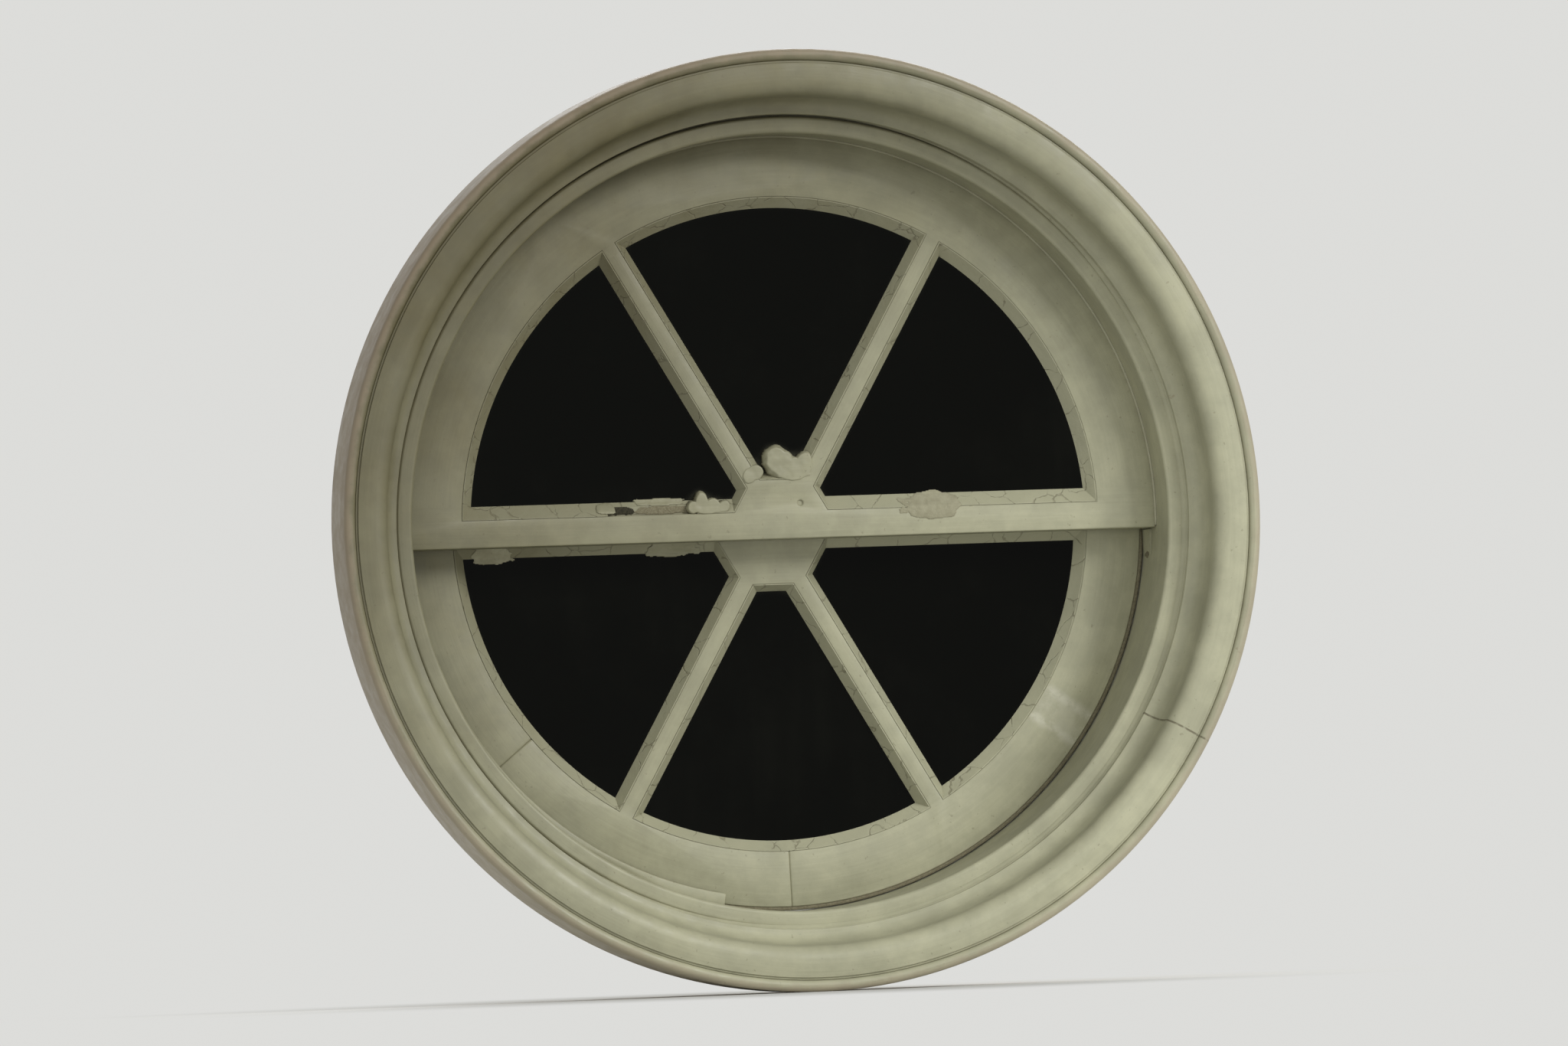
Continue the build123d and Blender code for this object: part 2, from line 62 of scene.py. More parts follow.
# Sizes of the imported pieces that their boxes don't give
RAIL_SLOPE = 8.4 * MM  # how far the sloping putty reaches from a rail's flat
UPPER_FLAT = 8.6 * MM  # height where the upper rail's flat ends
LOWER_FLAT = -7.6 * MM  # height where the lower rail's flat ends
LOWER_RIM = (200 * MM, 256 * MM)  # radii a little inside and outside of the lower rim
RIM_JOINTS = (-89, -141)  # angles of two of its joints
SPOKE_LEAN = 60  # angle of the bars
CASING_JOINT = -30  # angle of the casing's open joint
SASH_GAP = 0.4 * MM  # between the upper sash and the jamb
NOSE_WIDTH = 12 * MM  # from the jamb's bore out to the casing's inner edge
MARK_PLACE = (251.2, 46)  # x and depth of the dark marks over the plate's screws, in millimetres
MARK_HEIGHTS = (-28, -37)

# Wear that only the looks have
SASH_ROUNDING = 0.8 * MM
CASING_ROUNDING = 0.5 * MM
JAMB_ROUNDING = 0.6 * MM
JOINT_WIDTH, JOINT_DEPTH = 0.45 * MM, 0.8 * MM
NAIL_PLACE = (13 * MM, 13 * MM)  # x and z on the hub
NAIL_RADIUS, NAIL_DEPTH = 2.4 * MM, 1.3 * MM
PATCH_ANGLE = -34.5
PAINT_IOR = 1.48

# The camera's view, as in the photograph
VIEW_AZIMUTH = -13.8
VIEW_ELEVATION = -1.6
VIEW_DISTANCE = 9.0
VIEW_ROLL = -2.2
VIEW_WIDTH = 1.02
VIEW_TARGET = (0, 20 * MM, 0)
SENSOR_WIDTH = 36

# Colours
CLEAN = (0.430, 0.424, 0.290)
# The dark, yellow end of the paint: partly aged paint, and partly painted shade of the upper left
AGED_AND_SHADED = (0.076, 0.062, 0.022)
# Dirt, and the painted shade in corners and gaps
GRIME_AND_SHADE = (0.105, 0.086, 0.046)
BARE = (0.235, 0.165, 0.095)
BARE_PALE = (0.36, 0.26, 0.15)
SMEAR = (0.330, 0.310, 0.270)
STAIN = (0.320, 0.245, 0.180)
PATCH = (0.62, 0.61, 0.49)
# Painted shade: the glass is nearly black to stand for the dark room behind it
GLASS_AND_ROOM_SHADE = (0.0014, 0.0016, 0.0009)
GLASS_DUST = (0.15, 0.15, 0.105)
PALE = (0.72, 0.72, 0.70)

# Stage
FLOOR_RADIUS = 60.0
FLOOR_FADE = (0.12, 0.55)  # distances between which the floor fades into the world
WORLD_SEEN, WORLD_LIGHT = 1.0, 0.62


# Shader building


class Graph:
    """A material's node tree, built with short calls."""

    def __init__(self, name):
        self.material = bpy.data.materials.new(name)
        self.material.use_nodes = True
        self.tree = self.material.node_tree
        self.tree.nodes.clear()
        self.output = self.tree.nodes.new("ShaderNodeOutputMaterial")

    def node(self, kind, inputs=(), **settings):
        made = self.tree.nodes.new("ShaderNode" + kind)
        for key, value in settings.items():
            setattr(made, key, value)
        for key, value in dict(inputs).items():
            self.feed(made.inputs[key], value)
        return made

    def feed(self, socket, value):
        """Links the socket to another one, or sets its value."""
        if isinstance(value, bpy.types.NodeSocket):
            self.tree.links.new(value, socket)
        elif socket.type == "RGBA" and len(value) == 3:
            socket.default_value = (*value, 1)
        else:
            socket.default_value = value

    def math(self, operation, a, b=0.0):
        return self.node("Math", {0: a, 1: b}, operation=operation).outputs[0]

    def add(self, a, b):
        return self.math("ADD", a, b)

    def subtract(self, a, b):
        return self.math("SUBTRACT", a, b)

    def times(self, a, b):
        return self.math("MULTIPLY", a, b)

    def length(self, a, b):
        return self.math("SQRT", self.add(self.times(a, a), self.times(b, b)))

    def turned(self, x, z, angle):
        """How far a place is along a line at this angle from the axis, and how far off it."""
        c, s = cos(radians(angle)), sin(radians(angle))
        along = self.add(self.times(x, c), self.times(z, s))
        off = self.subtract(self.times(z, c), self.times(x, s))
        return along, off

    def span(self, value, low, high, to_low=0.0, to_high=1.0):
        """A smooth step from one value to another between two limits."""
        inputs = {"Value": value, "From Min": low, "From Max": high}
        inputs.update({"To Min": to_low, "To Max": to_high})
        return self.node("MapRange", inputs, interpolation_type="SMOOTHSTEP").outputs["Result"]

    def mix(self, factor, a, b, blend="MIX"):
        made = self.node("Mix", data_type="RGBA", blend_type=blend)
        self.feed(made.inputs["Factor"], factor)
        colours = [socket for socket in made.inputs if socket.type == "RGBA"]
        self.feed(colours[0], a)
        self.feed(colours[1], b)
        return [socket for socket in made.outputs if socket.type == "RGBA"][0]

    def shade(self, colour, tone):
        """The colour, darker or lighter by the tone."""
        return self.mix(1.0, colour, self.vector(tone, tone, tone), "MULTIPLY")

    def cover(self, colour, other, share, most):
        """The colour with another over it, at most this much where the share is one."""
        return self.mix(self.times(share, most), colour, other)

    def noise(self, vector, scale, detail=3.0, roughness=0.55):
        inputs = {"Vector": vector, "Scale": scale, "Detail": detail, "Roughness": roughness}
        return self.node("TexNoise", inputs).outputs["Fac"]

    def corners(self, reach, uneven, amount, outer, inner):
        """One in corners and gaps, and zero in the open, with an uneven border."""
        seen = self.node("AmbientOcclusion", {"Distance": reach}, samples=6).outputs["AO"]
        return self.span(self.add(seen, self.times(uneven, amount)), outer, inner)

    def vector(self, x, y, z):
        return self.node("CombineXYZ", {0: x, 1: y, 2: z}).outputs[0]

    def spot(self):
        """The place on the piece."""
        return self.node("TexCoord").outputs["Object"]

    def place(self):
        """The place on the piece, then its x, y and z."""
        spot = self.spot()
        x, y, z = self.node("SeparateXYZ", {0: spot}).outputs
        return spot, x, y, z

    def surface(self, colour, rough, bumps, more=()):
        """The finished material; bumps are a height, a strength and a distance."""
        height, strength, distance = bumps
        bump = self.node("Bump", {"Height": height, "Strength": strength, "Distance": distance})
        inputs = {"Base Color": colour, "Roughness": rough, "Normal": bump.outputs[0]}
        inputs.update(more)
        return self.finish(self.node("BsdfPrincipled", inputs).outputs[0])

    def finish(self, shader):
        self.tree.links.new(shader, self.output.inputs["Surface"])
        return self.material


def strokes(graph, grain):
    """Brush strokes that follow the piece: round the window, or along a bar at an angle."""
    long_way, fine_way = 14.0, 420.0
    _, x, y, z = graph.place()
    if grain == "ring":
        radius = graph.length(x, z)
        turn = 0.3 * long_way
        u = graph.times(graph.math("DIVIDE", x, radius), turn)
        v = graph.times(graph.math("DIVIDE", z, radius), turn)
        w = graph.times(graph.add(radius, y), fine_way)
    else:
        along, side = graph.turned(x, z, grain)
        u = graph.times(along, long_way)
        v = graph.times(side, fine_way)
        w = graph.times(y, fine_way)
    return graph.noise(graph.vector(u, v, w), 1.0, 4.0, 0.62)


def aged_and_shaded_cream(graph, x, z, blotch):
    """The paint's colour, yellower and darker towards the upper left: partly its age, and partly
    painted shade.
    """
    upward, leftward, uneven = 2.0, 2.3, 0.8
    # Painted shade and age together: the colour darkens towards the upper left
    lean = graph.subtract(graph.times(z, upward), graph.times(x, leftward))
    lean = graph.add(lean, graph.times(graph.subtract(blotch, 0.5), uneven))
    return graph.mix(graph.span(lean, -0.8, 1.3), CLEAN, AGED_AND_SHADED)


def angle_mask(graph, x, z, angle, half_width):
    """One within half a width of the line at this angle, on its own side of the axis."""
    along, off = graph.turned(x, z, angle)
    near = graph.span(graph.math("ABSOLUTE", off), half_width, half_width * 0.45)
    return graph.times(near, graph.span(along, 0.0, 1 * MM))


def patched(graph, angle, fine, colour, height):
    """A pale patch with a worn rim, across the lower sash's face at this angle."""
    _, x, y, z = graph.place()
    whole = angle_mask(graph, x, z, angle, 16 * MM)
    inner = angle_mask(graph, x, z, angle, 12 * MM)
    rim = graph.times(graph.subtract(whole, inner), graph.span(fine, 0.35, 0.55))
    pale = graph.add(graph.times(whole, graph.span(fine, 0.4, 0.6, 0.15, 0.40)), rim)
    pale = graph.times(pale, graph.span(y, lower_front + 4 * MM, lower_front + 2 * MM))
    colour = graph.cover(colour, PATCH, pale, 0.8)
    return colour, graph.add(height, graph.times(pale, 0.9))


def cracked(graph, angle, fine, colour, height):
    """A stained outer lip, and a joint at this angle that has opened here and there."""
    spot, x, _, z = graph.place()
    ragged = graph.times(graph.subtract(fine, 0.5), 8 * MM)
    edge = graph.add(graph.length(x, z), ragged)
    stained = graph.span(edge, casing_radius - 7 * MM, casing_radius - 1 * MM)
    colour = graph.cover(colour, STAIN, stained, 0.45)
    broken = graph.span(graph.noise(spot, 60.0, 3.0), 0.38, 0.50)
    gap = graph.times(angle_mask(graph, x, z, angle, 0.8 * MM), broken)
    colour = graph.cover(colour, GRIME_AND_SHADE, gap, 0.75)
    return colour, graph.subtract(height, graph.times(gap, 2.0))


def unpainted(graph, hidden, colour, rough):
    """Bare pine with pale smears where the mask is one."""
    grain = strokes(graph, "ring")
    wood = graph.mix(graph.span(grain, 0.3, 0.7), BARE, BARE_PALE)
    smeared = graph.span(graph.noise(graph.spot(), 22.0, 5.0, 0.65), 0.56, 0.66)
    wood = graph.cover(wood, SMEAR, smeared, 0.8)
    rough = graph.math("MAXIMUM", rough, graph.times(hidden, 0.85))
    return graph.mix(hidden, colour, wood), rough


def paint(
    name, grain="ring", unevenness=1.0, bare_beyond=None, bare_behind=None, crack=None, patch=None
):
    """Old cream oil paint: yellowed, blotched and brushed, with dirt and painted shade in the
    corners.

    Wood is bare beyond a radius or behind a depth, where one is given. A crack and a
    patch are the angles at which they run."""
    graph = Graph(name)
    spot, x, y, z = graph.place()
    stroke = strokes(graph, grain)
    blotch = graph.noise(spot, 13.0, 4.0, 0.6)
    fine = graph.noise(spot, 90.0, 5.0, 0.6)
    dab = graph.noise(spot, 34.0, 5.0, 0.65)
    tone = graph.span(blotch, 0.25, 0.75, 0.87, 1.07)
    tone = graph.times(tone, graph.span(dab, 0.36, 0.66, 0.94, 1.08))
    tone = graph.times(tone, graph.span(stroke, 0.2, 0.8, 0.95, 1.04))
    tone = graph.times(tone, graph.span(fine, 0.3, 0.7, 0.97, 1.03))
    colour = graph.shade(aged_and_shaded_cream(graph, x, z, blotch), tone)
    # Painted shade and dirt: darker where ambient occlusion finds corners and gaps
    in_corners = graph.corners(6 * MM, fine, 0.35, 0.95, 0.40)
    colour = graph.cover(colour, GRIME_AND_SHADE, in_corners, 0.36)
    speck = graph.span(graph.noise(spot, 330.0, 2.0, 0.5), 0.70, 0.76)
    colour = graph.cover(colour, GRIME_AND_SHADE, speck, 0.30)
    wear = graph.span(graph.noise(spot, 46.0, 6.0, 0.7), 0.71, 0.73)
    colour = graph.cover(colour, BARE, wear, 0.35)
    height = graph.add(graph.times(stroke, 0.5), graph.times(fine, 0.45 * unevenness))
    height = graph.subtract(height, graph.times(wear, 0.4))
    if patch is not None:
        colour, height = patched(graph, patch, fine, colour, height)
    if crack is not None:
        colour, height = cracked(graph, crack, fine, colour, height)
    rough = graph.span(fine, 0.25, 0.75, 0.40, 0.62)
    if bare_beyond is not None:
        radius = graph.length(x, z)
        hidden = graph.span(radius, bare_beyond - 1 * MM, bare_beyond - 0.4 * MM)
        colour, rough = unpainted(graph, hidden, colour, rough)
    if bare_behind is not None:
        hidden = graph.span(y, bare_behind - 0.5 * MM, bare_behind - 0.1 * MM)
        colour, rough = unpainted(graph, hidden, colour, rough)
    return graph.surface(colour, rough, (height, 0.55, 0.45 * MM), {"IOR": PAINT_IOR})


def putty_finish():
    """Painted linseed putty, lumpier than the wood, with fine cracks across it."""
    graph = Graph("painted_putty")
    spot, x, _, z = graph.place()
    blotch = graph.noise(spot, 30.0, 4.0, 0.6)
    fine = graph.noise(spot, 150.0, 5.0, 0.65)
    tone = graph.span(blotch, 0.25, 0.75, 0.86, 1.08)
    colour = graph.shade(aged_and_shaded_cream(graph, x, z, blotch), tone)
    warp = graph.node("TexNoise", {"Vector": spot, "Scale": 60.0, "Detail": 3.0}).outputs["Color"]
    reach = (0.012, 0.012, 0.012)
    warp = graph.node("VectorMath", {0: warp, 1: reach}, operation="MULTIPLY").outputs[0]
    bent = graph.node("VectorMath", {0: spot, 1: warp}, operation="ADD").outputs[0]
    cells = graph.node("TexVoronoi", {"Vector": bent, "Scale": 42.0}, feature="DISTANCE_TO_EDGE")
    edge = graph.add(cells.outputs["Distance"], graph.times(fine, 0.09))
    crack = graph.span(edge, 0.060, 0.042)
    # Painted shade and dirt: darker where ambient occlusion finds corners and gaps
    in_corners = graph.corners(5 * MM, fine, 0.5, 1.0, 0.5)
    colour = graph.cover(colour, GRIME_AND_SHADE, in_corners, 0.6)
    colour = graph.cover(colour, GRIME_AND_SHADE, crack, 0.38)
    height = graph.subtract(fine, graph.times(crack, 0.8))
    rough = graph.span(fine, 0.25, 0.75, 0.45, 0.7)
    return graph.surface(colour, rough, (height, 0.7, 0.6 * MM), {"IOR": PAINT_IOR})


def bare_putty():
    """Putty laid bare where the paint has gone: dry, pinkish beige and crumbly."""
    graph = Graph("bare_putty")
    spot = graph.spot()
    fine = graph.noise(spot, 420.0, 5.0, 0.7)
    coarse = graph.noise(spot, 95.0, 4.0, 0.6)
    dark, light = (0.285, 0.270, 0.178), (0.375, 0.358, 0.248)
    colour = graph.mix(graph.span(coarse, 0.3, 0.7), dark, light)
    colour = graph.mix(graph.span(fine, 0.62, 0.74, 0.0, 0.6), colour, GRIME_AND_SHADE)
    return graph.surface(colour, 0.9, (fine, 0.8, 0.8 * MM))


def glass_finish():
    """Glass painted nearly black as the shade of a dark room behind it, with a thin film of dust
    and paint smeared on its edges.
    """
    graph = Graph("glass_painted_dark")
    spot, x, y, z = graph.place()
    film = graph.noise(spot, 9.0, 5.0, 0.65)
    drawn = graph.vector(graph.times(x, 60.0), y, graph.times(z, 7.0))
    streak = graph.noise(drawn, 1.0, 4.0)
    edge = graph.corners(6 * MM, film, 0.4, 0.95, 0.55)
    dust = graph.times(graph.span(film, 0.45, 0.75), graph.span(streak, 0.35, 0.7, 0.4, 1.0))
    # The near-black base is painted shade of the room behind; the dust film lies over it
    colour = graph.cover(GLASS_AND_ROOM_SHADE, GLASS_DUST, dust, 0.016)
    colour = graph.cover(colour, CLEAN, edge, 0.10)
    rough = graph.add(graph.span(film, 0.3, 0.8, 0.045, 0.13), graph.times(edge, 0.4))
    waves = (graph.noise(spot, 7.0, 1.0), 0.25, 1.5 * MM)
    gloss = {"IOR": 1.45, "Transmission Weight": 0.12, "Specular IOR Level": 0.035}
    return graph.surface(colour, rough, waves, gloss)


def metal_finish(name, bright, dull, tarnish):
    """Old metal: worn bright here and there, dulled and stained elsewhere."""
    graph = Graph(name)
    spot = graph.spot()
    coarse = graph.noise(spot, 70.0, 5.0, 0.6)
    fine = graph.noise(spot, 900.0, 3.0, 0.6)
    worn = graph.span(coarse, 0.30, 0.72)
    in_corners = graph.corners(3 * MM, coarse, 0.3, 1.0, 0.5)
    colour = graph.cover(graph.mix(worn, dull, bright), tarnish, in_corners, 0.7)
    rough = graph.subtract(0.62, graph.times(worn, 0.3))
    return graph.surface(colour, rough, (fine, 0.3, 0.1 * MM), {"Metallic": 1.0})


def pile_finish(name, dark, light):
    """A dull rough pile: the old draught strip, whose dark tone is partly painted shade, and dark
    sheets of painted shade and shadow in a slot.
    """
    graph = Graph(name)
    pile = graph.noise(graph.spot(), 900.0, 3.0, 0.7)
    colour = graph.mix(graph.span(pile, 0.3, 0.7), dark, light)
    return graph.surface(colour, 1.0, (pile, 0.9, 0.5 * MM))


STEEL = ((0.45, 0.43, 0.40), (0.16, 0.13, 0.10), (0.07, 0.04, 0.02))
BRASS = ((0.50, 0.37, 0.16), (0.30, 0.21, 0.095), (0.10, 0.075, 0.035))
materials = {
    # Felt whose dark tone is partly painted shade of the gaps; also a sheet of painted shade in
    # the slot
    "felt_and_shade": pile_finish("felt_and_painted_shade", (0.150, 0.132, 0.080), (0.230, 0.210, 0.135)),
    # Painted shadow: near black, for the deep slot in the broken putty
    "painted_shadow": pile_finish("painted_slot_shadow", (0.016, 0.014, 0.007), (0.045, 0.040, 0.022)),
    "lower ring": paint("sash_paint_patched", patch=PATCH_ANGLE),
    "casing": paint("casing_paint", bare_behind=0.0, crack=CASING_JOINT),
    "jamb": paint("jamb_paint", bare_beyond=jamb_outer),
    "ring": paint("sash_paint_round"),
    "bar": paint("sash_paint_level", grain=0, unevenness=1.3),
    "rising": paint("sash_paint_rising", grain=SPOKE_LEAN, unevenness=1.3),
    "falling": paint("sash_paint_falling", grain=-SPOKE_LEAN, unevenness=1.3),
    "putty": putty_finish(),
    "bare putty": bare_putty(),
    "glass": glass_finish(),
    "steel": metal_finish("dull_steel", *STEEL),
    "brass": metal_finish("dull_brass", *BRASS),
}


# Painted wood: glued pieces under one coat, their edges rounded by it


def wood_material(node):
    if "casing" in node:
        return materials["casing"]
    if "jamb" in node or "stop" in node:
        return materials["jamb"]
    if "spoke" in node:
        rising = ("upper" in node) == ("right" in node)
        return materials["rising" if rising else "falling"]
    if "rim" in node:
        return materials["lower ring" if "lower" in node else "ring"]
    return materials["bar"]


def source_copy(node):
    """A closed copy of a CAD piece's mesh, in the paint of that piece."""
    mesh = cad[node].data.copy()
    mesh.materials.clear()
    mesh.materials.append(wood_material(node))
    bm = bmesh.new()
    bm.from_mesh(mesh)
    bmesh.ops.remove_doubles(bm, verts=bm.verts, dist=0.002 * MM)
    for face in bm.faces:
        face.material_index = 0
    bm.to_mesh(mesh)
    bm.free()
    return bpy.data.objects.new("source_" + node, mesh)


def as_object(name, bm):
    """An object from a finished bmesh, not yet in the scene."""
    mesh = bpy.data.meshes.new(name)
    bm.to_mesh(mesh)
    bm.free()
    return bpy.data.objects.new(name, mesh)


def groove(angle, inner, outer, front, width, depth):
    """A thin wedge that cuts an open joint along a radius into a front face."""
    bm = bmesh.new()
    a = radians(angle)
    out, side = Vector((cos(a), 0, sin(a))), Vector((-sin(a), 0, cos(a)))
    corners = []
    for distance in (inner, outer):
        for shift, back in ((-1, -0.2 * depth), (1, -0.2 * depth), (0, depth)):
            spot = out * distance + side * (shift * width) + Vector((0, front + back, 0))
            corners.append(bm.verts.new(spot))
    low, high = corners[:3], corners[3:]
    bm.faces.new(low)
    bm.faces.new(reversed(high))
    for one in range(3):
        two = (one + 1) % 3
        bm.faces.new((low[two], low[one], high[one], high[two]))
    bmesh.ops.recalc_face_normals(bm, faces=bm.faces)
    return as_object("groove", bm)


def pit(x, z, front, radius, depth):
    """A shallow round hole left by a nail."""
    bm = bmesh.new()
    across = Matrix.Translation((x, front, z)) @ Matrix.Rotation(pi / 2, 4, "X")
    bmesh.ops.create_cone(
        bm,
        cap_ends=True,
        segments=14,
        radius1=radius * 0.7,
        radius2=radius,
        depth=2 * depth,
        matrix=across,
    )
    return as_object("pit", bm)


def combine(target, others, operation):
    """The target's mesh joined with, or cut by, the other meshes."""
    scene = bpy.context.scene.collection
    group = bpy.data.collections.new("operands")
    scene.children.link(group)
    scene.objects.link(target)
    for other in others:
        group.objects.link(other)
    change = target.modifiers.new("combine", "BOOLEAN")
    change.operation = operation
    change.operand_type = "COLLECTION"
    change.collection = group
    change.solver = "EXACT"
    change.material_mode = "TRANSFER"
    bpy.context.view_layer.update()
    shown = target.evaluated_get(bpy.context.evaluated_depsgraph_get())
    mesh = bpy.data.meshes.new_from_object(shown)
    for used in [target, *others]:
        bpy.data.objects.remove(used)
    bpy.data.collections.remove(group)
    return mesh


def soften(mesh, width):
    """Rounds the sharp outer edges as thick paint does."""
    bm = bmesh.new()
    bm.from_mesh(mesh)
    bmesh.ops.remove_doubles(bm, verts=bm.verts, dist=0.02 * MM)
    bmesh.ops.dissolve_limit(
        bm, angle_limit=radians(0.6), verts=bm.verts, edges=bm.edges, delimit={"MATERIAL"}
    )
    sharp = [
        edge
        for edge in bm.edges
        if edge.is_manifold and edge.is_convex and edge.calc_face_angle() > radians(28)
    ]
    bmesh.ops.bevel(
        bm,
        geom=sharp,
        offset=width,
        offset_type="OFFSET",
        segments=2,
        profile=0.5,
        affect="EDGES",
        clamp_overlap=False,
        miter_outer="SHARP",
    )
    for face in bm.faces:
        face.smooth = True
    bm.to_mesh(mesh)
    bm.free()
    mesh.set_sharp_from_angle(angle=radians(35))


def coat(name, nodes, body, width, cuts=()):
    """One painted piece that stands for the CAD pieces under it."""
    copies = [source_copy(node) for node in nodes]
    mesh = combine(copies[0], copies[1:], "UNION") if len(copies) > 1 else copies[0].data
    if cuts:
        mesh = combine(bpy.data.objects.new("body", mesh), list(cuts), "DIFFERENCE")
    soften(mesh, width)
    piece = bpy.data.objects.new(name, mesh)
    bpy.context.scene.collection.objects.link(piece)
    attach(piece, body)
    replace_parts(piece, *nodes)


def wooden(half):
    return sorted(n for n in cad if n.startswith(half) and "pane" not in n and "putty" not in n)


casing_nodes = [n for n in sorted(cad) if n.startswith("casing_") and n != "casing_nails"]
jamb_nodes = [n for n in sorted(cad) if n.startswith("jamb_")]

joint_cuts = [
    groove(angle, *LOWER_RIM, lower_front, JOINT_WIDTH, JOINT_DEPTH) for angle in RIM_JOINTS
]
hub_cuts = [pit(*NAIL_PLACE, upper_front, NAIL_RADIUS, NAIL_DEPTH)]
room_stops = ["room_stop_left", "room_stop_right"]

coat("upper_sash_wood", wooden("upper_"), "frame", SASH_ROUNDING, hub_cuts)
coat(
    "lower_sash_wood",
    wooden("lower_"),
    "lower_sash",
    SASH_ROUNDING,
    joint_cuts,
)
coat("casing_wood", casing_nodes, "frame", CASING_ROUNDING)
coat("jamb_wood", jamb_nodes, "frame", JAMB_ROUNDING)
coat("room_stop_wood", room_stops, "frame", SASH_ROUNDING)
coat("street_stop_wood", ["street_stop"], "frame", SASH_ROUNDING)


# The other CAD pieces, which keep their shapes


def dress(node, material):
    """Gives a CAD piece its finish."""
    if not cad[node].data.materials:
        cad[node].data.materials.append(None)
    for slot in cad[node].material_slots:
        slot.material = material


for node in cad:
    if "putty" in node:
        dress(node, materials["putty"])
    elif "pane" in node:
        dress(node, materials["glass"])
    elif node in ("bolt_rod", "bolt_plate", "bolt_strike"):
        dress(node, materials["brass"])
    elif node.startswith("pivot_plate") or node == "pivot_screws":
        dress(node, materials["bar"])
    elif "nails" in node or "screws" in node or "pin" in node:
        dress(node, materials["steel"])


# Lumps, smears and strips


def add_piece(name, bm, material, body):
    """A new piece from a finished bmesh."""
    for face in bm.faces:
        face.smooth = True
    piece = as_object(name, bm)
    piece.data.materials.append(materials[material])
    bpy.context.scene.collection.objects.link(piece)
    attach(piece, body)
    return piece


def lumps(name, spots, material, body, roughness, fineness):
    """Rounded uneven lumps; each spot is a centre and three half sizes, in millimetres."""
    bm = bmesh.new()
    for centre, size in spots:
        middle = Vector(centre) * MM
        for vert in bmesh.ops.create_icosphere(bm, subdivisions=4, radius=1.0)["verts"]:
            spot = middle + Vector([a * b * MM for a, b in zip(vert.co, size)])
            swell = 1 + roughness * noise.fractal(spot * fineness, 0.8, 2.0, 3)
            vert.co = middle + (spot - middle) * swell
    add_piece(name, bm, material, body)


GRID_STEP = 0.5


def skin(bm, grid, facing=1):
    """Faces between the neighbours on a grid, without the points that none of them uses."""
    for i, j in sorted(grid):
        corners = [grid.get(key) for key in ((i, j), (i + 1, j), (i + 1, j + 1), (i, j + 1))]
        if None not in corners:
            bm.faces.new(corners[::facing])
    bmesh.ops.delete(bm, geom=[v for v in bm.verts if not v.link_faces], context="VERTS")


def thicken(bm, back):
    """Closes a skin with a copy of itself; back turns a point's depth into its copy's."""
    for vert in bmesh.ops.extrude_face_region(bm, geom=bm.faces[:])["geom"]:
        if isinstance(vert, bmesh.types.BMVert):
            vert.co.y = back(vert.co.y)
    bmesh.ops.recalc_face_normals(bm, faces=bm.faces)


def smear(name, half, run, offs, thickness, material, sunk=None):
    """Putty or paint spread over a rail's sloping putty, thin at its ragged edge.

    It has a run along the rail and reaches from one offset to another from the rail's flat,
    in millimetres. Sunk, it lies that far behind the wood's face instead."""
    if half == "upper":
        body, front, flat, way = "frame", upper_front, UPPER_FLAT, 1
    else:
        body, front, flat, way = "lower_sash", lower_front, LOWER_FLAT, -1
    columns, rows = (round((end - start) / GRID_STEP) + 1 for start, end in (run, offs))
    bm = bmesh.new()
    grid = {}
    for i in range(columns):
        for j in range(rows):
            x, off = run[0] + i * GRID_STEP, offs[0] + j * GRID_STEP
            share = min(max(off * MM / RAIL_SLOPE, 0.0), 1.0)
            surface = front + (putty_depth * share if sunk is None else sunk * MM)
            u, v = 2 * i / (columns - 1) - 1, 2 * j / (rows - 1) - 1
            ragged = 0.75 * noise.fractal(Vector((x, off * 1.6, 7.0)) * 0.11, 0.9, 2.0, 3)
            inside = 0.9 - (1.5 * u * u + 1.25 * v ** 4) + ragged
            uneven = 1 + 0.5 * noise.fractal(Vector((x, off, 1.0)) * 0.17, 1.0, 2.0, 2)
            rise = thickness * min(max(inside, 0.0) * 1.3, 1.0) ** 0.6 * uneven
            if inside > 0:
                spot = Vector((x * MM, surface - rise * MM, flat + way * off * MM))
                grid[i, j] = bm.verts.new(spot)
    skin(bm, grid, way)
    thicken(bm, lambda depth: max(depth + 0.3 * MM, front + putty_depth - 0.1 * MM))
    add_piece(name, bm, material, body)


def clot(name, spots, proud, material, body):
    """Putty pressed into a corner of the glass, from the pane to just before the wood's face.

    Each spot is a middle, x and z, and two half widths, in millimetres."""
    low_x, high_x = min(s[0] - s[2] for s in spots) - 2, max(s[0] + s[2] for s in spots) + 2
    low_z, high_z = min(s[1] - s[3] for s in spots) - 2, max(s[1] + s[3] for s in spots) + 2
    depth = putty_depth + proud * MM
    bm = bmesh.new()
    grid = {}
    for i in range(int((high_x - low_x) / GRID_STEP) + 1):
        for j in range(int((high_z - low_z) / GRID_STEP) + 1):
            x, z = low_x + i * GRID_STEP, low_z + j * GRID_STEP
            inside = max(1 - ((x - s[0]) / s[2]) ** 2 - ((z - s[1]) / s[3]) ** 2 for s in spots)
            inside += 0.30 * noise.fractal(Vector((x, z, 3.0)) * 0.13, 1.0, 2.0, 2)
            if inside > 0:
                full = min(inside * 2.6, 1.0) ** 0.4
                uneven = 1 + 0.05 * noise.fractal(Vector((x, z, 5.0)) * 0.16, 1.0, 2.0, 2)
                spot = (x * MM, glass_front - depth * full * uneven, z * MM)
                grid[i, j] = bm.verts.new(spot)
    skin(bm, grid)
    thicken(bm, lambda _: glass_front - 0.1 * MM)
    return add_piece(name, bm, material, body)


